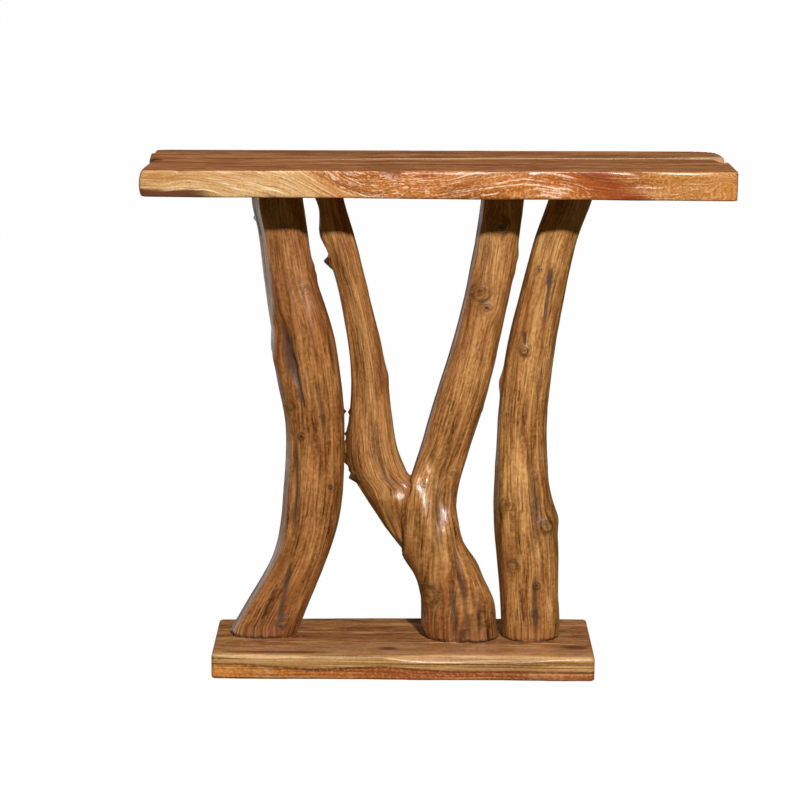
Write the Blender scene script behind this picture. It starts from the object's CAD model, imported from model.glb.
"""Looks of the live edge console table: weathered, varnished teak logs and planks on a white studio floor.

Everything is in metres, in the frame of the solids. Heights and places of knots, grooves and chips were
read off the photograph and are written as real sizes.
"""

import math

import bpy
import numpy as np
from mathutils import Matrix, Vector


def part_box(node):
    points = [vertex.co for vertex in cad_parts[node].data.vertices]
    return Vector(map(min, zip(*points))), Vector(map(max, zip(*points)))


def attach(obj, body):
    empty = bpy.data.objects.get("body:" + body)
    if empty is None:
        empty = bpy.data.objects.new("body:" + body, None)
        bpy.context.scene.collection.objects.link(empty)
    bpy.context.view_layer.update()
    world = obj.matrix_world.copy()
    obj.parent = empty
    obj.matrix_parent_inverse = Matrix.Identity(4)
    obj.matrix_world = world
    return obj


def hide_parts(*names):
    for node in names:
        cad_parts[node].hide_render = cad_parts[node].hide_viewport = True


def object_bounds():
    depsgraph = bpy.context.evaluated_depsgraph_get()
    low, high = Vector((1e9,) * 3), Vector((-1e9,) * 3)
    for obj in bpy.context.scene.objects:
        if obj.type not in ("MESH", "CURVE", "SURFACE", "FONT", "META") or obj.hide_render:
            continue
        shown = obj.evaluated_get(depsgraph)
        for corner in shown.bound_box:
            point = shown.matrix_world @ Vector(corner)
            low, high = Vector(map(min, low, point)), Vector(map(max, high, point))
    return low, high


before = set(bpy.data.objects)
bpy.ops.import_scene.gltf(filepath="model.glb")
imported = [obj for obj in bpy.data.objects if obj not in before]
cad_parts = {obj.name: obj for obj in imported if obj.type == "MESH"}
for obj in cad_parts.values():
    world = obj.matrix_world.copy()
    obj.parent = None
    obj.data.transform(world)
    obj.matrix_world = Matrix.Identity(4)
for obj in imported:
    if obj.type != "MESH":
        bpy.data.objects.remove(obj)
cad_low, cad_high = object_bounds()

LOG_VOXEL = 0.0020
FORK_VOXEL = 0.0021
BOARD_VOXEL = 0.0025
TOP_FACE = cad_high.z
TOP_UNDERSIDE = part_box("top_front_board")[0].z
BASE_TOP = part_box("base_back_board")[1].z
TOP_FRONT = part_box("top_front_board")[0].y
BASE_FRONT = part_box("base_front_board")[0].y


# Noise on arrays of points

LATTICE_STEPS = (374761393, 668265263, 2147483647)
LATTICE_SEED = 1274126177
LATTICE_RANGE = 0xFFFFFF


def lattice(cell, seed):
    """A repeatable number from 0 to 1 for each whole-number cell."""
    cell = cell.astype(np.int64)
    mixed = cell @ np.array(LATTICE_STEPS) + seed * LATTICE_SEED
    mixed = (mixed ^ (mixed >> 13)) * LATTICE_SEED
    mixed = mixed ^ (mixed >> 16)
    return (mixed & LATTICE_RANGE) / LATTICE_RANGE


def noise(points, seed=0):
    """Smooth noise from -1 to 1 at each point, one bump per unit."""
    cell = np.floor(points)
    part = points - cell
    part = part * part * part * (part * (part * 6 - 15) + 10)
    total = np.zeros(len(points))
    for corner in range(8):
        step = np.array([corner & 1, (corner >> 1) & 1, corner >> 2])
        weight = np.prod(np.where(step == 1, part, 1 - part), axis=1)
        total += weight * lattice(cell + step, seed)
    return total * 2 - 1


def layered(points, layers, seed=0):
    """Noise summed over finer and finer layers."""
    total = np.zeros(len(points))
    for layer in range(layers):
        total += noise(points * 2 ** layer, seed + layer) / 2 ** layer
    return total


def smooth(low, high, value):
    """A soft step from zero at low to one at high."""
    share = np.clip((value - low) / (high - low), 0, 1)
    return share * share * (3 - 2 * share)


def window(value, start, full, fade, end):
    """One between full and fade, falling softly to zero at the start and the end."""
    return smooth(start, full, value) * smooth(end, fade, value)


# Meshes

def add_object(name, data):
    made = bpy.data.objects.new(name, data)
    bpy.context.scene.collection.objects.link(made)
    return made


def dense_copy(node, name, voxel, fixed_y=None):
    """A copy of a node's solid with an even, fine mesh, ready to be shaped.

    With a fixed y, the copy is stretched from there while it is meshed, so that the top's skewed seam
    lies straight along the rows of the mesh.
    """
    piece = add_object(name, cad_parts[node].data.copy())
    if fixed_y is not None:
        points = read_vectors(piece.data)
        points[:, 1] = fixed_y + (points[:, 1] - fixed_y) / seam_stretch(points, fixed_y)
        write_points(piece.data, points)
    remesh = piece.modifiers.new("Even", "REMESH")
    remesh.mode = "VOXEL"
    remesh.voxel_size = voxel
    evaluated = piece.evaluated_get(bpy.context.evaluated_depsgraph_get())
    mesh = bpy.data.meshes.new_from_object(evaluated)
    piece.modifiers.clear()
    piece.data = mesh
    mesh.name = name
    if fixed_y is not None:
        points = read_vectors(mesh)
        points[:, 1] = fixed_y + (points[:, 1] - fixed_y) * seam_stretch(points, fixed_y)
        write_points(mesh, points)
    mesh.polygons.foreach_set("use_smooth", [True] * len(mesh.polygons))
    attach(piece, "root")
    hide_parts(node)
    return piece


def read_vectors(mesh, field="co"):
    """The places of a mesh's points, or another field of them such as the normals."""
    vectors = np.empty(len(mesh.vertices) * 3)
    mesh.vertices.foreach_get(field, vectors)
    return vectors.reshape(-1, 3)


def write_points(mesh, points):
    mesh.vertices.foreach_set("co", points.ravel())
    mesh.update()


def relax(mesh, points, weight, rounds):
    """Moves each point towards the middle of its neighbours, by its weight, a few times over."""
    ends = np.empty(len(mesh.edges) * 2, int)
    mesh.edges.foreach_get("vertices", ends)
    ends = ends.reshape(-1, 2)
    count = np.bincount(ends.ravel(), minlength=len(points))[:, None]
    for _ in range(rounds):
        total = np.zeros_like(points)
        np.add.at(total, ends[:, 0], points[ends[:, 1]])
        np.add.at(total, ends[:, 1], points[ends[:, 0]])
        points = points + weight[:, None] * (total / count - points)
    return points


def write_values(mesh, name, values):
    layer = mesh.attributes.new(name, "FLOAT", "POINT")
    layer.data.foreach_set("value", values.astype(np.float32))


def write_vectors(mesh, name, vectors):
    layer = mesh.attributes.new(name, "FLOAT_VECTOR", "POINT")
    layer.data.foreach_set("vector", vectors.astype(np.float32).ravel())


# Logs

SLICE = 0.018
WHOLE_GAP = 1.0
STEM_GAP = 0.006
GRAIN_RADIUS = 0.045
FAR_KNOT = 9.0
HOLLOW_SHADE = 70
FACET_CURVE = 9.0
BARK_REACH = 1.6
BARK_EDGE = 3.0
BARK_DEPTH = 3.6
GROOVE_FADE = 0.22
GROOVE_WANDER = 0.25
WANDERS_PER_METRE = 40
TRUNK = 0
BRANCH = 1

# The crease between trunk and branch on the fork's front, as places (x, z) from the crotch down
FORK_CREASE = [
    (-0.035, 0.300),
    (-0.044, 0.272),
    (-0.052, 0.240),
    (-0.050, 0.212),
    (-0.047, 0.190),
    (-0.052, 0.170),
    (-0.080, 0.148),
]
FORK_OVERLAP = 0.013
FULL_BRANCH = 0.07
THIN_BRANCH = 0.45
FRONT_POWER = 2.5

# Heights at which the fork's join is recast, relaxed and creased: start, full, fade and end
FORK_RECAST = (0.125, 0.165, 0.310, 0.370)
FORK_RELAXED = (0.110, 0.150, 0.330, 0.380)
FORK_CREASED = (0.170, 0.200, 0.300, 0.315)
CREASE_WIDE = 0.0045
CREASE_DEPTH = 0.0020
CREASE_SHADE = 0.9
UPRIGHT_X = -0.004
RELAX_STEP = 0.5
STEM_ROUNDS = 14
FORK_ROUNDS = 6


class Stem:
    """The centre line and size of one stem, measured in level slices of its solid."""

    def __init__(self, heights, rows):
        self.heights = np.array(heights)
        left, right, front, back = np.array(rows).T
        self.middle_x = (left + right) / 2
        self.middle_y = (front + back) / 2
        self.half_x = (right - left) / 2
        self.half_y = (back - front) / 2
        steps = np.hypot(np.diff(self.heights), np.diff(self.middle_x))
        self.length = np.concatenate([[0], np.cumsum(steps)])

    def at(self, z):
        """Centre x and y, half sizes along x and y, and the distance along the stem."""
        lists = (self.middle_x, self.middle_y, self.half_x, self.half_y, self.length)
        return [np.interp(z, self.heights, values) for values in lists]


def slice_boxes(points, z, split_gap):
    """Boxes of the stems that a level slice cuts, from left to right."""
    near = points[np.abs(points[:, 2] - z) < SLICE / 2]
    near = near[np.argsort(near[:, 0])]
    cuts = np.flatnonzero(np.diff(near[:, 0]) > split_gap) + 1
    return [
        (part[:, 0].min(), part[:, 0].max(), part[:, 1].min(), part[:, 1].max())
        for part in np.split(near, cuts)
    ]


def stem_heights(points):
    z = points[:, 2]
    return np.arange(z.min() + SLICE, z.max() - SLICE / 2, SLICE)


def single_stem(points):
    heights = stem_heights(points)
    return [Stem(heights, [slice_boxes(points, z, WHOLE_GAP)[0] for z in heights])]


def forked_stems(points):
    """Trunk and branch of the fork, and the place across of the line between them at each height."""
    heights = stem_heights(points)
    crease_x, crease_z = np.array(sorted(FORK_CREASE, key=lambda place: place[1])).T
    trunk, branch, split = [], [], []
    for z in heights:
        boxes = slice_boxes(points, z, STEM_GAP)
        if len(boxes) > 1 and z > crease_z[-1]:
            split.append((boxes[0][1] + boxes[-1][0]) / 2)
            trunk.append(boxes[-1])
            branch.append(boxes[0])
            continue
        left, right, front, back = boxes[0]
        line = np.interp(z, crease_z, crease_x)
        share = np.clip((line - left) / FULL_BRANCH, THIN_BRANCH, 1.0)
        split.append(line)
        trunk.append((max(left, line - FORK_OVERLAP), right, front, back))
        branch.append((left, max(line, left) + FORK_OVERLAP, front * share, back * share))
    return [Stem(heights, trunk), Stem(heights, branch)], (heights, np.array(split))


def scale_sections(surface, scale):
    """Grows or shrinks the level sections about the centre line."""
    moved = surface.points.copy()
    moved[:, :2] = surface.middle + (moved[:, :2] - surface.middle) * scale[:, None]
    return moved


def recast_fork(points, stems, split):
    """Gives trunk and branch a round section each where they join, with a crease between them."""
    surface = LogSurface(points, stems, split)
    share = window(points[:, 2], *FORK_RECAST)
    return scale_sections(surface, 1 + share * (1 / np.clip(surface.across, 0.7, 1.5) - 1))


def square_front(points, stems, split=None):
    """Makes the front of each stem a little flatter, as weathered and sanded logs are."""
    surface = LogSurface(points, stems, split)
    across = np.abs(np.cos(surface.angle)) ** FRONT_POWER
    deep = np.abs(np.sin(surface.angle)) ** FRONT_POWER
    grow = (across + deep) ** (-1 / FRONT_POWER)
    return scale_sections(surface, np.where(np.sin(surface.angle) < 0, grow, 1.0))


class LogSurface:
    """A log's points in stem coordinates: angle round the stem, distance along it, place across it."""

    def __init__(self, points, stems, split=None):
        self.points = points
        self.stems = stems
        z = points[:, 2]
        self.owner = np.zeros(len(points), int)
        fields = np.array(stems[0].at(z)).T
        self.margin = np.full(len(points), np.inf)
        if split is not None:
            from_line = points[:, 0] - np.interp(z, *split)
            self.owner = (from_line < 0).astype(int)
            self.margin = np.abs(from_line)
            fields = np.where(self.owner[:, None] == 1, np.array(stems[1].at(z)).T, fields)
        self.middle = fields[:, :2]
        self.half = fields[:, 2:4]
        self.along = fields[:, 4]
        offset = (points[:, :2] - self.middle) / self.half
        self.across = np.hypot(offset[:, 0], offset[:, 1])
        self.angle = np.arctan2(offset[:, 1], offset[:, 0])
        self.grain_angle = self.angle.copy()
        self.knot = np.full(len(points), FAR_KNOT)
        self.push, self.cavity, self.core, self.rings, self.tint, self.swell = np.zeros((6, len(points)))

    def outward(self):
        flat = self.points[:, :2] - self.middle
        size = np.maximum(np.hypot(flat[:, 0], flat[:, 1]), 1e-6)
        return flat / size[:, None]

    def place(self, stem_index, x, z, behind=False):
        """The point of a stem's surface at x and z, on its front unless it lies behind."""
        middle_x, middle_y, half_x, half_y, _ = self.stems[stem_index].at(z)
        side = np.clip((x - middle_x) / half_x, -1, 1)
        depth = math.sqrt(max(0.0, 1 - side * side)) * half_y
        return np.array([middle_x + side * half_x, middle_y + (depth if behind else -depth), z])

    def grain(self):
        """Points of the straightened log, for wood grain that follows the stem."""
        angle = self.grain_angle
        wide = GRAIN_RADIUS * (1 + 0.35 * self.owner)
        return np.stack([np.cos(angle) * wide, np.sin(angle) * wide, self.along + 2.0 * self.owner], axis=1)

    def straighten(self, stem, upright_x, weight):
        """Lets the front grain of a leaning stem run upright instead of along the stem."""
        lean = (self.middle[:, 0] - upright_x) / self.half[:, 0]
        self.grain_angle += np.where(self.owner == stem, weight * lean, 0)

    def oval(self, stem, x, z, wide, tall):
        """A soft oval patch on a stem's front, one in its middle."""
        away = self.points - self.place(stem, x, z)
        return np.exp(-(away[:, 0] ** 2 + away[:, 1] ** 2) / wide ** 2 - away[:, 2] ** 2 / tall ** 2)

    def add_knot(self, stem, x, z, radius, height, core=1.0, dimple=0.6, rings=0.48, behind=False):
        """A grown-over knot: a raised collar with a dimple, and grain that flows round it."""
        away = self.points - self.place(stem, x, z, behind)
        share = np.linalg.norm(away, axis=1) / radius
        self.push += height * (np.exp(-(share / 1.15) ** 2) - dimple * np.exp(-(share / 0.42) ** 2))
        self.take_closer(share, core, rings)
        sideways = away[:, 0] * np.sign(1e-9 - np.sin(self.angle))
        flow = -sideways / np.maximum(share, 1.0) ** 2 * np.exp(-share / 3.5)
        self.grain_angle += np.where(share < 8, flow / self.half[:, 0], 0)

    def add_back_knot(self, stem, x, z, radius, height):
        self.add_knot(stem, x, z, radius, height, behind=True)

    def add_lump(self, stem, x, z, wide, tall, height, dark=0.0):
        """A smooth swelling, or a hollow when its height is negative."""
        share = self.oval(stem, x, z, wide, tall)
        self.push += height * share
        self.cavity += max(0.0, -height * HOLLOW_SHADE) * share
        self.add_bark(BARK_REACH * dark * share)

    def add_facet(self, stem, x, z, wide, tall, turn, rise):
        """A flat tipped up and turned to the right, or to the left when the turn is negative.

        It is kept as a height for the material's bump.
        """
        away = self.points - self.place(stem, x, z)
        side = np.hypot(away[:, 0], away[:, 1])
        bulge = FACET_CURVE * side ** 2 - turn * away[:, 0] - rise * away[:, 2]
        self.swell += self.oval(stem, x, z, wide, tall) * bulge

    def add_tint(self, stem, x, z, wide, tall, amount):
        """A paler patch of wood, or a darker one when the amount is negative."""
        self.tint += amount * self.oval(stem, x, z, wide, tall)

    def add_spur(self, stem, x, z, radius, height):
        """A broken twig: a short pointed stub."""
        away = self.points - self.place(stem, x, z)
        share = np.linalg.norm(away, axis=1) / radius
        self.push += height * np.clip(1 - share, 0, 1) ** 1.3
        self.add_bark(np.clip(BARK_REACH - share, 0, 1))

    def add_bark(self, share):
        """Dark bark left on the wood where the share nears one."""
        self.take_closer(BARK_EDGE - BARK_DEPTH * np.clip(share, 0, 1), 1.0, 0.0)

    def take_closer(self, share, core, rings):
        """Keeps for each point the knot that it lies closest to, with that knot's heart and rings."""
        closer = share < self.knot
        self.core = np.where(closer, core, self.core)
        self.rings = np.where(closer, rings, self.rings)
        self.knot = np.where(closer, share, self.knot)

    def add_groove(self, stem, path, wide, depth, dark=1.0):
        """A lengthwise groove through points (x, z) on the front of a stem, fading at both ends."""
        places = np.array([self.place(stem, x, z) for x, z in reversed(path)])
        z = self.points[:, 2]
        line_x = np.interp(z, places[:, 2], places[:, 0])
        line_y = np.interp(z, places[:, 2], places[:, 1])
        low, high = places[0, 2], places[-1, 2]
        fade = GROOVE_FADE * (high - low)
        ends = window(z, low - fade, low + fade, high - fade, high + fade)
        wander = GROOVE_WANDER * wide * noise(np.outer(z, (WANDERS_PER_METRE, 0, 0)), 5)
        across = np.hypot(self.points[:, 0] - line_x - wander, self.points[:, 1] - line_y)
        cut = np.exp(-(across / wide) ** 2) * ends
        self.push -= depth * cut
        self.cavity += dark * cut

    def add_all(self, stem, features):
        """Adds lists of features to a stem, each row with the values of that feature's own method."""
        methods = {
            "groove": self.add_groove,
            "tint": self.add_tint,
            "lump": self.add_lump,
            "facet": self.add_facet,
            "knot": self.add_knot,
            "back_knot": self.add_back_knot,
            "spur": self.add_spur,
        }
        for kind, rows in features.items():
            for row in rows:
                methods[kind](stem, *row)

    def add_weather(self, seed, flute, ripple):
        """Uneven growth: broad flutes along the stem, smaller ripples and shallow dents."""
        along = self.along + 3 * self.owner

        def stretched(turns, runs):
            round_x, round_y = turns * np.cos(self.grain_angle), turns * np.sin(self.grain_angle)
            return np.stack([round_x, round_y, runs * along], axis=1)

        broad = noise(stretched(1.5, 4.5), seed)
        ridges = noise(stretched(3.4, 5.0), seed + 1)
        fine = noise(stretched(8, 7), seed + 2)
        lumps = layered(stretched(2, 26), 2, seed + 3)
        self.push += flute * (0.55 * broad + 0.45 * ridges) + ripple * (0.7 * fine + 0.5 * lumps)
        self.cavity += 0.30 * smooth(0.15, 0.9, -ridges) + 0.20 * smooth(0.2, 0.9, -fine)


def finish_log(piece, surface, foot_cut):
    """Moves the points out or in, keeps the sawn ends flat and stores the values that colour the wood."""
    mesh = piece.data
    outward = surface.outward()
    inside = np.clip(surface.across, 0, 1) ** 2
    ragged = np.clip(0.4 + layered(surface.points * 120, 2, 41), 0, 1.2)
    foot = smooth(BASE_TOP + 0.007, BASE_TOP + 0.001, surface.points[:, 2])
    foot *= smooth(0.93, 1.0, surface.across)
    moved = surface.points.copy()
    moved[:, :2] += outward * (surface.push * inside - foot * foot_cut * ragged)[:, None]
    write_points(mesh, moved)
    write_vectors(mesh, "grain", surface.grain())
    stored = {
        "cavity": np.clip(surface.cavity + 1.1 * foot, 0, 1.5),
        "knot": surface.knot,
        "core": surface.core,
        "rings": surface.rings,
        "growth": surface.push * 1000,
        "swell": surface.swell,
        "tint": np.clip(surface.tint, -1, 1),
    }
    for name, values in stored.items():
        write_values(mesh, name, values)


def log_points(piece):
    """The points of a log's dense copy, with the joins of its knots smoothed and its ends kept sharp."""
    points = read_vectors(piece.data)
    z = points[:, 2]
    from_ends = np.minimum(z - BASE_TOP, TOP_UNDERSIDE - z)
    return relax(piece.data, points, RELAX_STEP * smooth(0.004, 0.012, from_ends), STEM_ROUNDS)


def single_surface(piece):
    points = log_points(piece)
    stems = single_stem(points)
    return LogSurface(square_front(points, stems), stems)


# What has grown or worn on each stem: a row for each feature, with the values of its own add method
LEFT_FEATURES = {
    "groove": [
        ([(-0.249, 0.565), (-0.240, 0.525), (-0.228, 0.470)], 0.0125, 0.0080),
        ([(-0.228, 0.505), (-0.221, 0.470), (-0.214, 0.430)], 0.0045, 0.0035),
        ([(-0.208, 0.500), (-0.201, 0.460), (-0.196, 0.420)], 0.0045, 0.0025, 0.6),
        ([(-0.171, 0.548), (-0.166, 0.510), (-0.160, 0.470)], 0.0060, 0.0050),
        ([(-0.192, 0.470), (-0.184, 0.430), (-0.176, 0.380)], 0.0055, 0.0045),
        ([(-0.224, 0.370), (-0.222, 0.300), (-0.228, 0.220)], 0.0060, 0.0030),
        ([(-0.232, 0.170), (-0.243, 0.110), (-0.252, 0.060)], 0.0060, 0.0030),
    ],
    "tint": [
        (-0.240, 0.515, 0.012, 0.040, -0.7),
        (-0.205, 0.690, 0.030, 0.060, 0.35),
        (-0.196, 0.545, 0.009, 0.060, 0.45),
        (-0.250, 0.080, 0.060, 0.060, -0.40),
    ],
    "lump": [
        (-0.256, 0.505, 0.016, 0.022, 0.0045),
        (-0.196, 0.560, 0.014, 0.060, 0.0030),
    ],
    "knot": [
        (-0.211, 0.616, 0.0045, 0.0006),
        (-0.231, 0.426, 0.0090, 0.0020),
        (-0.214, 0.376, 0.0060, 0.0016),
        (-0.182, 0.410, 0.0055, 0.0014, 0.0),
        (-0.168, 0.292, 0.0040, 0.0010),
        (-0.245, 0.068, 0.0090, 0.0040, 0.3),
    ],
    "spur": [
        (-0.1455, 0.410, 0.0055, 0.0055),
        (-0.2900, 0.722, 0.0070, 0.0060),
    ],
    "back_knot": [
        (-0.190, 0.640, 0.0130, 0.0040),
        (-0.215, 0.330, 0.0160, 0.0050),
    ],
}


def make_left_log():
    piece = dense_copy("left_log", "left_log_wood", LOG_VOXEL)
    surface = single_surface(piece)
    surface.add_weather(11, 0.0028, 0.0008)
    surface.add_all(TRUNK, LEFT_FEATURES)
    finish_log(piece, surface, 0.0045)
    return piece


TRUNK_FEATURES = {
    "groove": [
        ([(0.001, 0.320), (0.003, 0.265), (0.004, 0.225), (0.007, 0.185)], 0.0070, 0.0060, 0.8),
        ([(0.030, 0.200), (0.036, 0.165), (0.044, 0.130)], 0.0055, 0.0045),
        ([(0.026, 0.140), (0.032, 0.085), (0.035, 0.045)], 0.0060, 0.0055),
        ([(0.047, 0.135), (0.053, 0.085), (0.056, 0.045)], 0.0055, 0.0050),
        ([(0.062, 0.125), (0.072, 0.080), (0.077, 0.045)], 0.0055, 0.0045),
        ([(0.012, 0.120), (0.014, 0.080), (0.016, 0.045)], 0.0050, 0.0025, 0.6),
    ],
    "lump": [
        (-0.004, 0.205, 0.040, 0.080, 0.0080),
        (-0.015, 0.272, 0.020, 0.045, 0.0050),
        (0.013, 0.231, 0.018, 0.045, 0.0050),
        (0.098, 0.080, 0.030, 0.045, 0.0055),
        (0.062, 0.195, 0.018, 0.030, -0.0050),
        (0.129, 0.665, 0.010, 0.014, 0.0040),
        (0.126, 0.641, 0.009, 0.012, 0.0030),
    ],
    "facet": [
        (-0.0150, 0.276, 0.014, 0.050, 0.28, 0.38),
        (-0.0105, 0.325, 0.007, 0.022, 0.26, 0.42),
        (0.0077, 0.238, 0.013, 0.055, 0.12, 0.38),
    ],
    "tint": [
        (0.055, 0.095, 0.030, 0.050, -0.35),
        (0.030, 0.060, 0.070, 0.070, -0.55),
        (-0.005, 0.230, 0.045, 0.060, 0.25),
        (0.062, 0.435, 0.026, 0.040, -0.35),
        (0.098, 0.690, 0.035, 0.060, 0.40),
        (0.075, 0.560, 0.040, 0.080, 0.30),
    ],
    "knot": [
        (-0.0156, 0.302, 0.0060, 0.0020),
        (0.0274, 0.317, 0.0045, 0.0012),
        (-0.0058, 0.116, 0.0190, 0.0030, 0.3, 0.3, 0.60),
        (0.0667, 0.610, 0.0145, 0.0020, 0.8),
        (0.0781, 0.5865, 0.0085, 0.0030),
        (0.0983, 0.717, 0.0130, 0.0020),
        (0.0772, 0.417, 0.0045, 0.0012, 0.2),
    ],
    "back_knot": [(0.095, 0.560, 0.0150, 0.0045)],
}


BRANCH_FEATURES = {
    "groove": [([(-0.096, 0.400), (-0.092, 0.350), (-0.080, 0.310)], 0.0060, 0.0030, 0.6)],
    "lump": [
        (-0.060, 0.257, 0.018, 0.030, 0.0070),
        (-0.189, 0.694, 0.012, 0.020, 0.0060, 1.0),
        (-0.196, 0.738, 0.018, 0.020, -0.0075),
        (-0.081, 0.471, 0.010, 0.016, 0.0035),
    ],
    "facet": [(-0.0570, 0.281, 0.011, 0.020, -0.16, 0.36)],
    "tint": [(-0.100, 0.330, 0.030, 0.050, 0.20)],
    "spur": [
        (-0.178, 0.657, 0.0110, 0.0110),
        (-0.139, 0.410, 0.0070, 0.0040),
        (-0.141, 0.374, 0.0070, 0.0060),
    ],
}


def make_fork_log():
    piece = dense_copy("fork_log", "fork_log_wood", FORK_VOXEL)
    points = log_points(piece)
    stems, split = forked_stems(points)
    recast = recast_fork(points, stems, split)
    z = points[:, 2]
    points = relax(piece.data, recast, RELAX_STEP * window(z, *FORK_RELAXED), FORK_ROUNDS)
    surface = LogSurface(square_front(points, stems, split), stems, split)
    surface.straighten(TRUNK, UPRIGHT_X, smooth(0.37, 0.28, z) * smooth(1.0, -0.3, np.cos(surface.angle)))
    surface.add_weather(23, 0.0030, 0.0008)
    crease = np.exp(-(surface.margin / CREASE_WIDE) ** 2) * window(z, *FORK_CREASED)
    surface.cavity += CREASE_SHADE * crease
    surface.push -= CREASE_DEPTH * crease
    surface.add_all(TRUNK, TRUNK_FEATURES)
    surface.add_all(BRANCH, BRANCH_FEATURES)
    add_burl(surface)
    finish_log(piece, surface, 0.0035)
    return piece


def add_burl(surface):
    """The dark rough burl low on the back left of the branch, facing the left log."""
    middle = surface.place(BRANCH, -0.129, 0.343, behind=True)
    away = (surface.points - middle) / np.array([0.020, 0.022, 0.040])
    share = np.exp(-np.sum(away ** 2, axis=1))
    lumps = layered(surface.points * 110, 3, 77)
    surface.push += share * (0.0200 + 0.0120 * lumps)
    surface.add_bark(smooth(0.05, 0.45, share))
    surface.add_spur(BRANCH, -0.127, 0.306, 0.0120, 0.0120)


RIGHT_FEATURES = {
    "groove": [
        ([(0.156, 0.360), (0.160, 0.280), (0.163, 0.225), (0.160, 0.190)], 0.0075, 0.0050, 0.5),
        ([(0.128, 0.260), (0.129, 0.215), (0.130, 0.180)], 0.0055, 0.0035, 0.5),
        ([(0.164, 0.150), (0.163, 0.115), (0.165, 0.060)], 0.0055, 0.0032),
        ([(0.163, 0.520), (0.160, 0.450), (0.163, 0.380)], 0.0050, 0.0025, 0.7),
        ([(0.179, 0.652), (0.176, 0.637), (0.174, 0.622)], 0.0036, 0.0006, 1.1),
        ([(0.1392, 0.548), (0.1390, 0.536), (0.1392, 0.528)], 0.0035, 0.0015, 1.4),
    ],
    "tint": [
        (0.170, 0.680, 0.016, 0.075, 0.75),
        (0.152, 0.610, 0.016, 0.080, 0.80),
        (0.177, 0.637, 0.007, 0.026, -1.00),
        (0.139, 0.290, 0.014, 0.090, 0.40),
        (0.163, 0.230, 0.010, 0.080, -0.45),
        (0.108, 0.250, 0.012, 0.060, -0.40),
    ],
    "lump": [
        (0.139, 0.300, 0.014, 0.080, 0.0025),
        (0.196, 0.240, 0.018, 0.020, 0.0045),
        (0.188, 0.300, 0.012, 0.026, -0.0030),
        (0.103, 0.461, 0.008, 0.016, 0.0045),
    ],
    "knot": [
        (0.1607, 0.649, 0.0050, 0.0014),
        (0.1392, 0.518, 0.0085, 0.0026, 0.35, 0.35, 0.85),
        (0.1160, 0.269, 0.0095, 0.0042),
        (0.1775, 0.232, 0.0105, 0.0045, 0.4),
        (0.1648, 0.134, 0.0055, 0.0015),
        (0.1639, 0.089, 0.0065, 0.0024),
        (0.1270, 0.168, 0.0100, 0.0020, 0.3, 0.2),
    ],
    "back_knot": [(0.165, 0.450, 0.0140, 0.0045)],
}


# Dark streaks on the right log's upper half, each with its shift to the right and down
RIGHT_STREAKS = [(-0.0055, 0.025), (0.0, 0.0), (0.0050, 0.008), (0.0095, 0.050)]


def make_right_log():
    piece = dense_copy("right_log", "right_log_wood", LOG_VOXEL)
    surface = single_surface(piece)
    surface.add_weather(37, 0.0030, 0.0008)
    for side, lower in RIGHT_STREAKS:
        streak = [(0.182 + side, 0.650 - lower), (0.171 + side, 0.575 - lower)]
        surface.add_groove(TRUNK, streak, 0.0026, 0.0010)
    surface.add_all(TRUNK, RIGHT_FEATURES)
    finish_log(piece, surface, 0.0025)
    return piece


# Boards

TOP_SEAM_LEFT = 0.005
TOP_SEAM_RIGHT = 0.050
BASE_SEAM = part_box("base_back_board")[0].y
SEAM_REACH = 0.0022
TOP_TAPER = 0.0040
TOP_DROP = 0.0012
FRONT_REACH = 0.02
FIGURE_RELIEF = 0.0003
FRONT_WAVES = 0.0011
UPPER_WAVES = 0.0003
END_WEAR = 0.0008
CHIP_DEPTH = 0.0025
NOTCH_X = -0.446
BASE_WAVES = 0.0010
BASE_WEAR = 0.0002

# Bites out of the top's front edge, each (x, half length, depth)
TOP_CHIPS = [
    (-0.069, 0.014, 0.0050),
    (-0.085, 0.008, 0.0030),
    (-0.394, 0.010, 0.0022),
    (0.298, 0.010, 0.0034),
]


def front_band(points, normals, front_y, reach):
    """How much a point belongs to a board's front face."""
    facing = smooth(0.25, 0.75, -normals[:, 1])
    near = smooth(front_y + reach, front_y + reach * 0.5, points[:, 1])
    return facing * near


def chip_arris(points, front_y, top_z, chips):
    """Bites out of the front top edge, each (x, half length, depth)."""
    moved = np.zeros_like(points)
    from_edge = np.hypot(points[:, 1] - front_y, points[:, 2] - top_z)
    for x, half_length, depth in chips:
        along = (points[:, 0] - x) / half_length
        shape = np.clip(1 - along ** 2, 0, 1) * (0.7 + 0.5 * noise(points * 180, 7))
        bite = depth * np.clip(shape, 0, 1) * smooth(2.2 * depth + 0.004, 0.0, from_edge)
        moved[:, 1] += 0.6 * bite
        moved[:, 2] -= 0.8 * bite
    return moved


def front_flow(points):
    """Height of the front face's figure: lines dip to the right at the left end, arch past the middle."""
    x, z = points[:, 0], points[:, 2]
    dip = 0.050 * smooth(-0.420, -0.100, x) + 0.045 * smooth(-0.250, -0.080, x)
    arch = 0.018 * np.exp(-((x - 0.130) / 0.110) ** 2) * smooth(TOP_UNDERSIDE - 0.03, TOP_FACE, z)
    curl = 0.022 * np.exp(-((x - 0.436) / 0.020) ** 2 - ((z - 0.794) / 0.012) ** 2)
    sway = 0.0045 * noise(points * (16, 0, 20), 61)
    sway += 0.0015 * noise(points * (45, 0, 60), 62)
    return z + dip - arch - curl + sway


def taper_top(points):
    """The top is a little thicker at its right end than at its left."""
    share = np.clip((points[:, 0] - cad_low.x) / (cad_high.x - cad_low.x), 0, 1)
    up = (points[:, 2] - TOP_UNDERSIDE) / (TOP_FACE - TOP_UNDERSIDE)
    return up * (TOP_TAPER * share - TOP_DROP)


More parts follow.
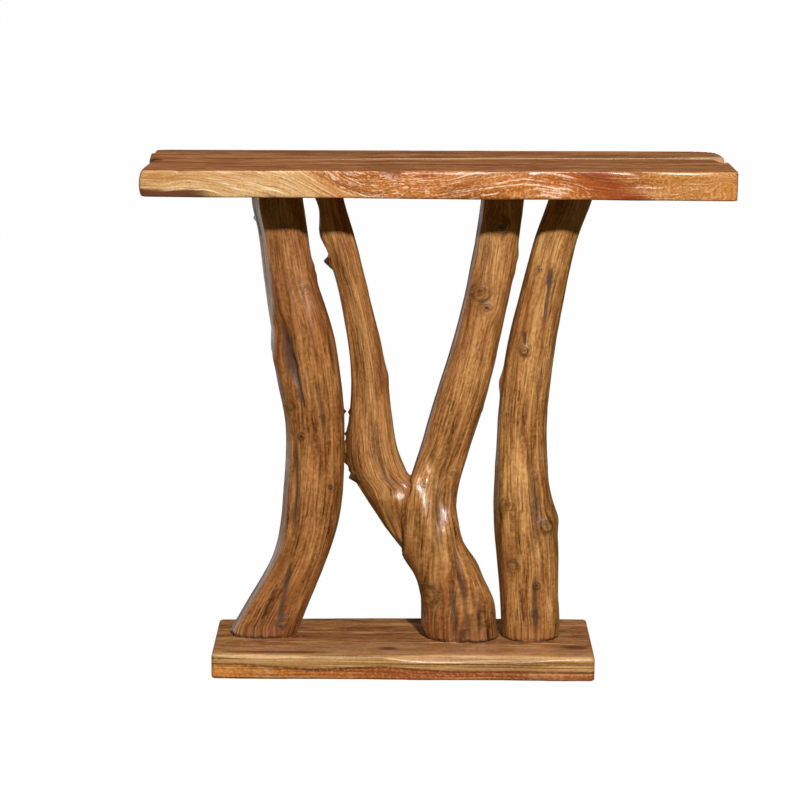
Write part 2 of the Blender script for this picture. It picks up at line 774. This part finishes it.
def shape_front_ends(points):
    """The left end of the front board is worn round, and drops back towards the notch."""
    x, y, z = points.T
    near = smooth(-0.425, -0.452, x)
    middle = (TOP_FACE + TOP_UNDERSIDE) / 2
    belly = ((z - middle) / (TOP_FACE - middle)) ** 2
    back = np.clip((y - TOP_FRONT) / 0.155, 0, 1)
    return near * (0.0045 * belly + 0.0080 * back ** 1.5 - 0.0036)


def shape_back_ends(points):
    """The back board has a broad round at its back right corner, and a left end that leans out."""
    x = points[:, 0]
    deep = np.clip(top_seam_gap(points) / 0.100, 0, 1)
    right = smooth(0.390, 0.450, x) * 0.0160 * (1 - np.sqrt(1 - 0.98 * deep ** 2))
    left = smooth(-0.400, -0.450, x) * (0.0050 * deep - 0.0050 * smooth(1.25, 1.45, deep * 1.45))
    return -right - left


def square_corner(points, beside, top_z, reach):
    """Puts back the sharp upper edge of a glued seam that the even mesh has blunted."""
    near = (np.abs(beside) < reach) & (points[:, 2] > top_z - reach)
    squared = points.copy()
    squared[near, 1] -= beside[near]
    squared[near, 2] = top_z
    return squared


def top_seam_gap(points):
    """How far each point lies behind the skewed seam of the top."""
    front_low, front_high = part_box("top_front_board")
    share = (points[:, 0] - front_low.x) / (front_high.x - front_low.x)
    return points[:, 1] - (TOP_SEAM_LEFT + (TOP_SEAM_RIGHT - TOP_SEAM_LEFT) * share)


def seam_stretch(points, fixed_y):
    """How far the top's seam lies from a fixed y at each point, as a share of its middle distance."""
    seam_y = points[:, 1] - top_seam_gap(points)
    return (seam_y - fixed_y) / ((TOP_SEAM_LEFT + TOP_SEAM_RIGHT) / 2 - fixed_y)


def make_top_board(node, name, fixed_y):
    piece = dense_copy(node, name, BOARD_VOXEL, fixed_y)
    points = read_vectors(piece.data)
    normals = read_vectors(piece.data, "normal")
    beside = top_seam_gap(points)
    band = front_band(points, normals, TOP_FRONT, FRONT_REACH)
    flow = points.copy()
    flow[:, 2] = front_flow(points)
    dressed = FIGURE_RELIEF * layered(flow * (16, 0, 130), 2, 15)
    waves = FRONT_WAVES * noise(points * (13, 0, 26), 19)
    moved = square_corner(points, beside, TOP_FACE, SEAM_REACH)
    moved += normals * (band * (dressed + waves))[:, None]
    flat = smooth(0.8, 0.95, np.abs(normals[:, 2]))
    moved[:, 2] += flat * UPPER_WAVES * noise(points * (14, 30, 1), 29)
    end = smooth(0.7, 0.9, np.abs(normals[:, 0]))
    moved[:, 0] -= np.sign(points[:, 0]) * end * END_WEAR * np.clip(1 + noise(points * 30, 33), 0, None)
    moved[:, 0] += shape_front_ends(points) if node == "top_front_board" else shape_back_ends(points)
    moved[:, 2] += taper_top(points)
    bites = chip_arris(points, TOP_FRONT, TOP_FACE, TOP_CHIPS)
    moved += bites
    write_points(piece.data, moved)
    write_vectors(piece.data, "flow", flow)
    write_values(piece.data, "chip", np.clip(np.linalg.norm(bites, axis=1) / CHIP_DEPTH, 0, 1))
    wide = 0.0065 + 0.0100 * smooth(0.33, 0.44, points[:, 0])
    write_values(piece.data, "seam", np.exp(-(beside / wide) ** 2) * smooth(-0.30, -0.10, points[:, 0]))
    notch = np.exp(-((points[:, 0] - NOTCH_X) / 0.010) ** 2 - (beside / 0.012) ** 2)
    write_values(piece.data, "notch", notch)
    return piece


def make_base_board(node, name):
    piece = dense_copy(node, name, BOARD_VOXEL)
    points = read_vectors(piece.data)
    normals = read_vectors(piece.data, "normal")
    low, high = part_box("base_front_board")
    share = (points[:, 0] - low.x) / (high.x - low.x)
    band = front_band(points, normals, BASE_FRONT, FRONT_REACH)
    waves = BASE_WAVES * noise(points * (14, 0, 40), 51)
    moved = square_corner(points, points[:, 1] - BASE_SEAM, BASE_TOP, SEAM_REACH)
    moved += normals * (band * waves)[:, None]
    wane = 0.0025 + 0.0028 * smooth(0.35, 0.65, share) + 0.0022 * noise(points * (9, 0, 0), 53)
    from_edge = (points[:, 1] - BASE_FRONT) + (BASE_TOP - points[:, 2])
    cut = np.clip(wane * 1.6 - from_edge, 0, None) * 0.5
    moved[:, 1] += cut
    moved[:, 2] -= cut
    flat = smooth(0.8, 0.95, normals[:, 2])
    moved[:, 2] -= flat * BASE_WEAR * np.clip(1 + noise(points * (16, 40, 1), 55), 0, None)
    write_points(piece.data, moved)
    return piece


# Node materials

class Value:
    """One output of a node, with arithmetic that adds Math nodes."""

    def __init__(self, nodes, socket):
        self.nodes = nodes
        self.socket = socket

    def __add__(self, other):
        return self.nodes.math("ADD", self, other)

    def __sub__(self, other):
        return self.nodes.math("SUBTRACT", self, other)

    def __rsub__(self, other):
        return self.nodes.math("SUBTRACT", other, self)

    def __mul__(self, other):
        return self.nodes.math("MULTIPLY", self, other)

    def __truediv__(self, other):
        return self.nodes.math("DIVIDE", self, other)

    __radd__ = __add__
    __rmul__ = __mul__


class Nodes:
    """A node tree under construction, with short names for the nodes that are used here."""

    def __init__(self, tree):
        self.tree = tree

    def feed(self, socket, value):
        if isinstance(value, Value):
            self.tree.links.new(value.socket, socket)
        else:
            socket.default_value = value

    def add(self, kind, output, inputs=(), **settings):
        """A new node with its settings and inputs, given back as one of its outputs."""
        made = self.tree.nodes.new(kind)
        for key, value in settings.items():
            setattr(made, key, value)
        for key, value in dict(inputs).items():
            self.feed(made.inputs[key], value)
        return Value(self, made.outputs[output])

    def stored(self, name, kind="Fac"):
        return self.add("ShaderNodeAttribute", kind, attribute_name=name)

    def noise(self, vector, scale, detail=3.0, rough=0.55, bend=0.0, shift=(0, 0, 0)):
        """Noise on a vector that is scaled along each axis and shifted."""
        place = self.add("ShaderNodeMapping", "Vector", {"Vector": vector, "Scale": scale, "Location": shift})
        inputs = {"Vector": place, "Scale": 1.0, "Detail": detail, "Roughness": rough, "Distortion": bend}
        return self.add("ShaderNodeTexNoise", "Fac", inputs)

    def math(self, operation, first, second=0.0):
        return self.add("ShaderNodeMath", 0, {0: first, 1: second}, operation=operation)

    def distance(self, across, along):
        return self.math("SQRT", across * across + along * along)

    def spread(self, value, low, high, new_low=0.0, new_high=1.0, soft=True):
        """A value carried from one range to another, with soft ends or in a straight line."""
        inputs = {"Value": value, "From Min": low, "From Max": high, "To Min": new_low, "To Max": new_high}
        kind = "SMOOTHSTEP" if soft else "LINEAR"
        return self.add("ShaderNodeMapRange", "Result", inputs, interpolation_type=kind)

    def ramp(self, value, *stops):
        """A colour between stops, each (position, colour)."""
        made = self.add("ShaderNodeValToRGB", "Color", {"Fac": value})
        elements = made.socket.node.color_ramp.elements
        while len(elements) < len(stops):
            elements.new(1.0)
        for element, (position, colour) in zip(elements, stops):
            element.position = position
            element.color = colour
        return made

    def mix(self, share, first, second):
        return self.add("ShaderNodeMix", 2, {0: share, 6: first, 7: second}, data_type="RGBA")

    def stain(self, colour, stain, value, low, high, strength):
        """A colour that turns to another, up to a strength, as a value goes from low to high."""
        return self.mix(self.spread(value, low, high) * strength, colour, stain)

    def split(self, vector):
        made = self.add("ShaderNodeSeparateXYZ", 0, {0: vector})
        return [Value(self, output) for output in made.socket.node.outputs]

    def bump(self, height, distance, strength=1.0, before=None):
        inputs = {"Height": height, "Distance": distance, "Strength": strength}
        if before is not None:
            inputs["Normal"] = before
        return self.add("ShaderNodeBump", "Normal", inputs)


class Shader(Nodes):
    """A material under construction, with its last shader node as the surface."""

    def __init__(self, name, surface="ShaderNodeBsdfPrincipled"):
        self.material = bpy.data.materials.new(name)
        self.material.use_nodes = True
        super().__init__(self.material.node_tree)
        self.tree.nodes.clear()
        output = self.tree.nodes.new("ShaderNodeOutputMaterial")
        self.surface = self.tree.nodes.new(surface)
        self.tree.links.new(self.surface.outputs[0], output.inputs["Surface"])

    def place(self):
        return self.add("ShaderNodeTexCoord", "Object")

    def finish(self, colour, rough, normal, even):
        """Feeds the surface, sets the values that are even all over it, and gives back the material."""
        for key, value in {"Base Color": colour, "Roughness": rough, "Normal": normal, **even}.items():
            self.feed(self.surface.inputs[key], value)
        return self.material


def shade(red, green, blue):
    """A colour from its screen values, 0 to 255."""
    def linear(value):
        share = value / 255
        return share / 12.92 if share <= 0.04045 else ((share + 0.055) / 1.055) ** 2.4
    return (linear(red), linear(green), linear(blue), 1.0)


VARNISH_IOR = 1.5
PALE_LINE = shade(250, 226, 196)


def varnish(coat, coat_rough, specular=0.5):
    """The clear gloss over the wood."""
    return {"IOR": VARNISH_IOR, "Specular IOR Level": specular, "Coat Weight": coat,
            "Coat Roughness": coat_rough, "Coat IOR": VARNISH_IOR}


# Strength of each log's dark streaks, and its colours from the deepest to the lightest
LEFT_COLOURS = (0.22, shade(42, 22, 9), shade(98, 54, 22), shade(148, 93, 46), shade(192, 135, 80))
FORK_COLOURS = (0.20, shade(48, 26, 10), shade(104, 61, 27), shade(158, 103, 53), shade(206, 153, 93))
RIGHT_COLOURS = (0.36, shade(50, 28, 12), shade(104, 62, 27), shade(161, 106, 53), shade(210, 159, 98))


def log_material(name, streaks, deep, dark, middle, light):
    """Debarked teak: fibres along the stem, growth lines round lumps, dark grooves, knots and fine checks."""
    wood = Shader(name)
    grain = wood.stored("grain", "Vector")
    fibre = wood.noise(grain, (320, 320, 16), 2.0, 0.6, 0.3)
    mottle = wood.noise(grain, (240, 240, 170), 3.0, 0.6, 0.3)
    strand = wood.noise(grain, (200, 200, 7), 4.0, 0.6, 0.4)
    band = wood.noise(grain, (80, 80, 5), 4.0, 0.55, 0.5)
    patch = wood.noise(grain, (30, 30, 8), 4.0, 0.6, 0.5)
    tone = 0.72 * fibre + 0.20 * strand + 0.30 * band + 0.86 * patch + 0.58 * mottle
    tone = wood.spread(tone + 0.18 * wood.stored("tint"), 1.05, 1.61, soft=False)
    colour = wood.ramp(tone, (0.0, deep), (0.20, dark), (0.52, middle), (1.0, light))
    shine = wood.noise(grain, (310, 310, 16), 2.0, 0.5, 0.3, (6, 1, 3))
    colour = wood.stain(colour, light, shine, 0.54, 0.66, 0.42)
    pore = wood.noise(grain, (310, 310, 18), 2.0, 0.5, 0.3, (2, 9, 5))
    colour = wood.stain(colour, dark, pore, 0.55, 0.66, 0.62)
    blush = wood.noise(grain, (30, 30, 5), shift=(3, 1, 0))
    colour = wood.stain(colour, shade(132, 70, 32), blush, 0.48, 0.66, 0.34)
    layers = wood.math("SINE", 5.0 * band + 3.0 * wood.stored("growth"))
    colour = wood.stain(colour, deep, layers, 0.55, 1.0, 0.10)
    streak = wood.noise(grain, (200, 200, 8), 3.0, 0.55, 0.5, (1, 7, 2))
    colour = wood.stain(colour, deep, streak, 0.58, 0.70, streaks)
    hollow = wood.spread(wood.stored("cavity") + 0.8 * (strand - 0.5), 0.30, 1.15)
    colour = wood.mix(0.80 * hollow, colour, deep)
    rings, colour = log_knots(wood, grain, strand, colour, deep)
    crack = log_checks(wood, grain)
    colour = wood.mix(0.65 * crack, colour, shade(36, 20, 10))
    rough = 0.26 * strand + 0.35 * hollow + 0.20
    lift = fibre + 1.2 * strand - 1.3 * crack - 0.6 * rings
    pores = wood.noise(grain, (700, 700, 150), 2.0)
    normal = wood.bump(wood.stored("swell"), 1.0)
    normal = wood.bump(lift, 0.0008, 0.35, normal)
    normal = wood.bump(pores, 0.0003, 0.2, normal)
    return wood.finish(colour, rough, normal, varnish(0.60, 0.27))


def log_knots(wood, grain, strand, colour, deep):
    """Uneven dark rings, a broken rim and a dark heart where a knot lies."""
    uneven = wood.noise(grain, (150, 150, 110), shift=(2, 2, 2))
    knot = wood.stored("knot") + 1.1 * (uneven - 0.5)
    waves = wood.math("SINE", 2.5 * strand + 10.0 * knot)
    rings = wood.spread(waves, 0.0, 0.95) * wood.spread(knot, 1.7, 0.6)
    colour = wood.mix(rings * wood.stored("rings"), colour, deep)
    gaps = wood.noise(grain, (120, 120, 120), 2.0, shift=(7, 0, 3))
    rim = wood.spread(knot, 1.30, 1.0) * wood.spread(knot, 0.66, 0.92) * wood.spread(gaps, 0.40, 0.60)
    colour = wood.mix(0.68 * rim, colour, deep)
    heart = wood.spread(knot, 0.60, 0.15) * wood.stored("core")
    return rings, wood.mix(0.85 * heart, colour, shade(46, 26, 13))


def log_checks(wood, grain):
    """Fine drying cracks along the stem, in patches."""
    field = wood.noise(grain, (240, 240, 6.5), 2.0, 0.5, 1.2, (5, 3, 8))
    line = wood.spread(wood.math("ABSOLUTE", field - 0.5), 0.018, 0.003)
    where = wood.noise(grain, (40, 40, 10), 2.0, shift=(9, 2, 4))
    return line * wood.spread(where, 0.50, 0.60)


def plank_grain(wood, place, seed, heart_y, heart_z, per_metre, wander):
    """Tone of a plank sawn along X, from growth rings round a wandering heart line and from its fibres."""
    _, y, z = wood.split(place)
    across = y - heart_y + wander * (wood.noise(place, (3.2, 9, 9), 2.0) - 0.5)
    jitter = wood.noise(place, (8, 90, 90), 2.0)
    rings = wood.math("FRACT", per_metre * wood.distance(across, z - heart_z) + 0.9 * jitter)
    fine = wood.noise(place, (36, 95, 300), 3.0, 0.65, 0.3, (seed, 0, 0))
    medium = wood.noise(place, (8, 64, 150), 4.0, 0.65, 0.5, (seed, 2, 0))
    broad = wood.noise(place, (2.6, 28, 36), 3.0, 0.5, 0.5, (seed, 0, 5))
    tone = 0.20 * rings + 0.50 * fine + 0.80 * medium + 0.50 * broad
    return wood.spread(tone, 0.70, 1.32, soft=False), fine, medium


def plank_pores(wood, place, seed, colour):
    """Fine lines and short dark pores of an upper face, too fine to show from afar."""
    lines = wood.noise(place, (12, 270, 270), 3.0, 0.6, 0.4, (seed, 7, 2))
    colour = wood.stain(colour, shade(100, 54, 24), lines, 0.50, 0.34, 0.40)
    colour = wood.stain(colour, shade(226, 170, 112), lines, 0.52, 0.68, 0.20)
    pores = wood.noise(place, (45, 620, 620), 2.0, 0.5, shift=(seed, 5, 1))
    return wood.stain(colour, shade(70, 36, 16), pores, 0.58, 0.68, 0.60)


def top_material(name, seed):
    """The top: brown streaked upper face, and a front face that goes from pale sapwood to rust heartwood."""
    wood = Shader(name)
    place = wood.place()
    x, y, z = wood.split(place)
    heart_y, heart_z = 0.02 + 0.05 * seed, TOP_UNDERSIDE - 0.15
    tone, _, medium = plank_grain(wood, place, seed, heart_y, heart_z, 70, 0.10)
    upper = wood.ramp(tone, (0.0, shade(74, 37, 16)), (0.3, shade(124, 72, 38)),
                      (0.6, shade(161, 101, 57)), (1.0, shade(204, 150, 99)))
    cloud = wood.noise(place, (5, 16, 0), shift=(seed, 3, 0))
    upper = wood.stain(upper, shade(192, 131, 80), cloud, 0.35, 0.68, 0.35)
    upper = plank_pores(wood, place, seed, upper)
    _, facing_y, facing_z = wood.split(wood.add("ShaderNodeNewGeometry", "Normal"))
    glue = wood.stored("seam") * wood.spread(facing_z, 0.3, 0.8, 0.30, 0.85)
    upper = wood.mix(glue, upper, shade(240, 200, 152))
    upper = wood.mix(0.90 * wood.stored("notch"), upper, shade(40, 22, 12))
    figured, lines, figure = front_figure(wood, x, z)
    front = wood.spread(facing_y, -0.35, -0.75) * wood.spread(y, TOP_FRONT + 0.040, TOP_FRONT + 0.030)
    chip = wood.stored("chip")
    colour = wood.mix(0.75 * chip, wood.mix(front, upper, figured), shade(112, 62, 28))
    rough = 0.25 * medium + 0.35 * chip + wood.spread(front, 0.0, 1.0, 0.56, 0.16)
    lift = 0.8 * front * (lines + 0.7 * figure) + 0.6 * medium
    return wood.finish(colour, rough, wood.bump(lift, 0.0010, 0.35), varnish(0.08, 0.26, 0.25))


def front_figure(wood, x, z):
    """Colour of the top's front face along its flowing figure, with its fine lines and broad figure."""
    flow = wood.stored("flow", "Vector")
    figure = wood.noise(flow, (9, 0, 90), 4.0, 0.6, 0.5)
    lines = wood.noise(flow, (14, 0, 400), 3.0, 0.6, 0.3, (0, 0, 2))
    flecks = wood.noise(flow, (85, 0, 380), 2.0, 0.6, shift=(4, 0, 2))
    grit = wood.noise(flow, (230, 0, 380), 2.0, 0.6, shift=(1, 0, 7))
    wander = wood.noise(flow, (14, 0, 40), shift=(8, 0, 1)) - 0.5
    height = z - TOP_UNDERSIDE
    along = x + 0.10 * wander + 1.1 * (height - 0.02)
    share = wood.spread(along, cad_low.x, cad_high.x, soft=False)
    colour = wood.ramp(share, (0.00, shade(186, 146, 94)), (0.20, shade(198, 160, 110)),
                       (0.29, shade(192, 148, 96)), (0.325, shade(178, 112, 52)),
                       (0.46, shade(170, 98, 40)), (0.62, shade(176, 108, 48)),
                       (0.73, shade(158, 82, 26)), (0.80, shade(132, 50, 2)),
                       (0.85, shade(168, 108, 46)), (1.00, shade(178, 120, 56)))
    heart = wood.spread(share, 0.30, 0.34)
    calm = wood.spread(share, 0.84, 0.90, 1.0, 0.30)
    bare = 1.0 - 0.85 * wood.spread(share, 0.73, 0.77) * wood.spread(share, 0.84, 0.80)
    quiet = calm * bare
    colour = wood.stain(colour, shade(112, 48, 10), figure, 0.52, 0.36, (0.40 * heart + 0.25) * calm)
    strength = (0.66 - 0.04 * heart) * quiet
    colour = wood.stain(colour, PALE_LINE, lines, 0.54, 0.66, strength)
    colour = wood.stain(colour, shade(128, 66, 24), lines, 0.49, 0.34, strength)
    busy = heart * wood.spread(share, 0.52, 0.42, 0.18, 0.52) * quiet
    colour = wood.stain(colour, PALE_LINE, flecks, 0.54, 0.66, busy)
    colour = wood.stain(colour, shade(120, 62, 20), flecks, 0.46, 0.34, 0.45 * heart)
    colour = wood.stain(colour, shade(128, 68, 22), grit, 0.50, 0.66, 0.26 * heart + 0.28)
    colour = wood.stain(colour, shade(246, 206, 152), grit, 0.48, 0.34, 0.24 * bare)
    brow = wood.spread(height + 0.020 * wander, 0.022, 0.032) * wood.spread(share, 0.28, 0.14)
    brow = brow * wood.spread(figure, 0.60, 0.40, 0.30, 0.80)
    colour = wood.mix(brow, colour, shade(166, 106, 48))
    wane = wood.spread(height + 0.012 * wander, 0.014, 0.009) * wood.spread(along, -0.335, -0.395)
    return wood.mix(0.92 * wane, colour, shade(84, 42, 22)), lines, figure


# The stretch of the base's front that its heartwood's colour runs along
EDGE_LEFT = -0.345
EDGE_RIGHT = 0.245

# Height of the heartwood, at shares of the length from its own start to the right
HEARTWOOD_START = -0.300
HEARTWOOD_LINE = [(0.0, 0.025), (0.20, 0.016), (0.40, 0.022), (0.60, 0.0145), (0.78, 0.0165), (1.0, 0.014)]

# Dark knots of the base's upper face, each (x, y, half length, half width)
BASE_KNOTS = [
    (-0.252, BASE_FRONT + 0.021, 0.085, 0.008),
    (-0.073, -0.070, 0.017, 0.010),
    (0.226, -0.058, 0.022, 0.012),
]


def base_material(name, seed):
    """The base: orange-brown planks, with pale sapwood over dark heartwood along the front edge."""
    wood = Shader(name)
    place = wood.place()
    x, y, z = wood.split(place)
    tone, fine, medium = plank_grain(wood, place, seed, -0.04 + 0.06 * seed, -0.12, 60, 0.08)
    grit = wood.noise(place, (200, 80, 290), 2.0, 0.6, shift=(seed, 1, 4))
    tone = tone + 1.5 * (grit - 0.5)
    heart = wood.ramp(tone, (0.0, shade(66, 32, 14)), (0.3, shade(132, 78, 38)),
                      (0.6, shade(174, 118, 68)), (1.0, shade(216, 168, 112)))
    cloud = wood.noise(place, (9, 26, 0), shift=(seed, 3, 0))
    heart = wood.stain(heart, shade(132, 68, 30), cloud, 0.52, 0.66, 0.50)
    strip = wood.spread(y + 0.10 * (cloud - 0.5), BASE_FRONT + 0.085, BASE_FRONT + 0.060)
    heart = wood.mix(0.36 * strip, heart, shade(180, 136, 94))
    heart = plank_pores(wood, place, seed, heart)
    lines = wood.noise(place, (4, 0, 310), 2.0, 0.6, 0.4, (seed, 6, 0))
    edge = base_edge(wood, place, x, z, tone, lines, cloud)
    colour = wood.mix(wood.spread(y, BASE_FRONT + 0.014, BASE_FRONT + 0.006), heart, edge)
    colour = wood.stain(colour, shade(92, 48, 20), grit, 0.50, 0.66, 0.36)
    colour = wood.stain(colour, shade(226, 180, 124), grit, 0.50, 0.34, 0.20)
    uneven = 0.6 * wood.noise(place, (90, 90, 0))
    for knot_x, knot_y, half_x, half_y in BASE_KNOTS:
        far = wood.distance((x - knot_x) / half_x, (y - knot_y) / half_y)
        colour = wood.stain(colour, shade(80, 40, 22), far + uneven, 1.7, 0.7, 0.80)
    normal = wood.bump(fine + medium + lines, 0.0006, 0.5)
    return wood.finish(colour, 0.25 * medium + 0.24, normal, varnish(0.20, 0.20, 0.30))


def base_edge(wood, place, x, z, tone, lines, cloud):
    """The base's front: lined pale sapwood over a wavy dark line, and reddish heartwood below."""
    sap = wood.ramp(tone, (0.0, shade(142, 98, 52)), (0.5, shade(170, 126, 74)), (1.0, shade(196, 152, 98)))
    sap = wood.stain(sap, shade(98, 60, 28), lines, 0.51, 0.63, 0.85)
    sap = wood.stain(sap, shade(214, 172, 118), lines, 0.47, 0.36, 0.60)
    heart = wood.ramp(wood.spread(x, EDGE_LEFT, EDGE_RIGHT, soft=False),
                      (0.0, shade(190, 118, 48)), (0.3, shade(170, 94, 40)),
                      (0.6, shade(160, 84, 42)), (1.0, shade(156, 88, 48)))
    heart = wood.stain(heart, shade(204, 148, 100), cloud, 0.54, 0.66, 0.45)
    heart = wood.stain(heart, shade(96, 48, 20), lines, 0.50, 0.62, 0.70)
    heart = wood.stain(heart, shade(206, 150, 88), lines, 0.47, 0.36, 0.55)
    stops = [(share, (height, height, height, 1.0)) for share, height in HEARTWOOD_LINE]
    line = wood.ramp(wood.spread(x, HEARTWOOD_START, EDGE_RIGHT, soft=False), *stops)
    wander = wood.noise(place, (7, 0, 0), shift=(0, 4, 0)) - 0.5
    above = z - (line + 0.006 * wander)
    colour = wood.mix(wood.spread(above, -0.0010, 0.0010), heart, sap)
    vein = wood.spread(wood.math("ABSOLUTE", above), 0.0028, 0.0006, 0.0, 0.75)
    return wood.mix(vein, colour, shade(78, 38, 18))


def dowel_material():
    """Plain beech for the hidden dowels."""
    wood = Shader("dowel_beech")
    place = wood.place()
    fleck = wood.noise(place, (900, 900, 900))
    broad = wood.noise(place, (60, 60, 60))
    colour = wood.ramp(0.5 * fleck + 0.5 * broad, (0.3, shade(176, 130, 88)), (0.7, shade(218, 180, 136)))
    return wood.finish(colour, 0.2 * fleck + 0.5, wood.bump(fleck, 0.0002, 0.5), {})


def steel_material():
    """Zinc-plated steel with faint cloudy spangle and wear."""
    shader = Shader("zinc_plate")
    place = shader.place()
    cloud = shader.noise(place, (240, 240, 240), 4.0)
    scratch = shader.noise(place, (200, 200, 2400))
    colour = shader.ramp(cloud, (0.3, shade(150, 150, 146)), (0.7, shade(196, 196, 190)))
    return shader.finish(colour, 0.25 * scratch + 0.25, shader.bump(scratch, 0.0001, 0.4), {"Metallic": 1.0})


def dress(obj, material):
    obj.data.materials.clear()
    obj.data.materials.append(material)


# Stage

FLOOR_REACH = 30.0
FLOOR_WHITE = 0.985
FLOOR_PAINT = (0.95, 0.95, 0.95, 1.0)
FLOOR_BOUNCE = (0.158, 0.118, 0.036, 1.0)
SKY_LIGHT = 0.03
GLOSS_LIGHT = 0.08
KEY_POWER = 206.0
KEY_DISTANCE = 3.5
KEY_TURN = math.radians(10)
KEY_HEIGHT = math.radians(28)
KEY_SIZE = 0.16
LOW_TALL = 0.74
LOW_HEIGHT = 0.39
RIM_POWER = 4.2
RIM_WIDE = 1.7
RIM_PLACE = Vector((-1.40, 0.70, LOW_HEIGHT))
RIM_TARGET = Vector((-0.05, 0.0, LOW_HEIGHT))
BACK_POWER = 12.0
BACK_WIDE = 1.4
BACK_PLACE = Vector((0.40, 1.80, LOW_HEIGHT))
BACK_TARGET = Vector((0.0, 0.0, LOW_HEIGHT))
OVERHEAD_STRENGTH = 1.15
OVERHEAD_HEIGHT = math.radians(66)
OVERHEAD_SOFTNESS = math.radians(50)
CAMERA_PLACE = (-0.0566, -4.4652, 1.3009)
CAMERA_TURN = math.radians(0.0101)
CAMERA_TILT = math.radians(90 - 11.016)
CAMERA_ROLL = math.radians(0.4545)
CAMERA_LENS = 127.93
CAMERA_SENSOR = 36.0
CAMERA_REACH = 100.0


def make_floor():
    """A wide floor that shows the camera white, keeps a faint shadow and throws back a warm light."""
    mesh = bpy.data.meshes.new("floor")
    corners = [(x * FLOOR_REACH, y * FLOOR_REACH, 0) for x, y in ((-1, -1), (1, -1), (1, 1), (-1, 1))]
    mesh.from_pydata(corners, [], [(0, 1, 2, 3)])
    floor = add_object("floor", mesh)
    shader = Shader("white_floor", "ShaderNodeMixShader")
    seen = shader.add("ShaderNodeLightPath", "Is Camera Ray")
    matte = shader.add("ShaderNodeBsdfDiffuse", 0, {"Color": shader.mix(seen, FLOOR_BOUNCE, FLOOR_PAINT)})
    glow = shader.add("ShaderNodeEmission", 0, {"Strength": 1.0})
    for socket, value in zip(shader.surface.inputs, (FLOOR_WHITE * seen, matte, glow)):
        shader.feed(socket, value)
    mesh.materials.append(shader.material)


def make_world():
    """White for the camera, softer in reflections, and a weak even light on everything else."""
    world = bpy.data.worlds.new("studio")
    bpy.context.scene.world = world
    world.use_nodes = True
    nodes = Nodes(world.node_tree)
    seen, through, gloss = [
        nodes.add("ShaderNodeLightPath", kind)
        for kind in ("Is Camera Ray", "Is Transmission Ray", "Is Glossy Ray")
    ]
    light = SKY_LIGHT + (GLOSS_LIGHT - SKY_LIGHT) * gloss
    level = nodes.math("MAXIMUM", nodes.math("MAXIMUM", seen, through), light)
    nodes.feed(nodes.tree.nodes["Background"].inputs["Strength"], level)


def aim(obj, direction):
    obj.rotation_euler = Vector(direction).to_track_quat("-Z", "Y").to_euler()


def add_panel(name, power, wide, tall, place, target, shines=True):
    """A soft rectangular lamp at a place, turned to a target, with or without a reflection on the wood."""
    panel = add_object(name, bpy.data.lights.new(name, "AREA"))
    panel.data.shape = "RECTANGLE"
    panel.data.size = wide
    panel.data.size_y = tall
    panel.data.energy = power
    panel.visible_camera = False
    panel.visible_glossy = shines
    panel.location = place
    aim(panel, target - place)


def add_overhead():
    """A broad soft light from high at the front."""
    sun = add_object("overhead", bpy.data.lights.new("overhead", "SUN"))
    sun.data.energy = OVERHEAD_STRENGTH
    sun.data.angle = OVERHEAD_SOFTNESS
    aim(sun, (0.0, math.cos(OVERHEAD_HEIGHT), -math.sin(OVERHEAD_HEIGHT)))


def make_lights():
    """A key from the front right, a soft overhead light and low lights at the left and behind."""
    head = Vector((0.0, 0.0, TOP_UNDERSIDE))
    toward = Vector((math.sin(KEY_TURN), -math.cos(KEY_TURN), math.tan(KEY_HEIGHT)))
    add_panel("key", KEY_POWER, KEY_SIZE, KEY_SIZE, head + toward * KEY_DISTANCE, head)
    add_panel("rim", RIM_POWER, RIM_WIDE, LOW_TALL, RIM_PLACE, RIM_TARGET)
    add_panel("back", BACK_POWER, BACK_WIDE, LOW_TALL, BACK_PLACE, BACK_TARGET, False)
    add_overhead()


def make_camera():
    """The photograph's viewpoint, fitted to the corners of the top and the base."""
    data = bpy.data.cameras.new("camera")
    data.sensor_width = CAMERA_SENSOR
    data.lens = CAMERA_LENS
    data.clip_end = CAMERA_REACH
    camera = add_object("camera", data)
    turn = Matrix.Rotation(CAMERA_TURN, 4, "Z")
    tilt = Matrix.Rotation(CAMERA_TILT, 4, "X")
    roll = Matrix.Rotation(CAMERA_ROLL, 4, "Z")
    camera.matrix_world = Matrix.Translation(CAMERA_PLACE) @ turn @ tilt @ roll
    bpy.context.scene.camera = camera


def make_table():
    front = make_top_board("top_front_board", "top_front_plank", TOP_FRONT)
    back = make_top_board("top_back_board", "top_back_plank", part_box("top_back_board")[1].y)
    dress(front, top_material("top_front_teak", 0.0))
    dress(back, top_material("top_back_teak", 1.0))
    dress(make_base_board("base_front_board", "base_front_plank"), base_material("base_front_teak", 0.0))
    dress(make_base_board("base_back_board", "base_back_plank"), base_material("base_back_teak", 1.0))
    dress(make_left_log(), log_material("left_log_teak", *LEFT_COLOURS))
    dress(make_fork_log(), log_material("fork_log_teak", *FORK_COLOURS))
    dress(make_right_log(), log_material("right_log_teak", *RIGHT_COLOURS))
    beech = dowel_material()
    zinc = steel_material()
    for node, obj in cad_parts.items():
        if node.endswith("_dowels"):
            dress(obj, beech)
        elif node.endswith(("_screws", "_washers")):
            dress(obj, zinc)


make_table()
make_floor()
make_world()
make_lights()
make_camera()
bpy.context.scene.view_settings.view_transform = "Standard"
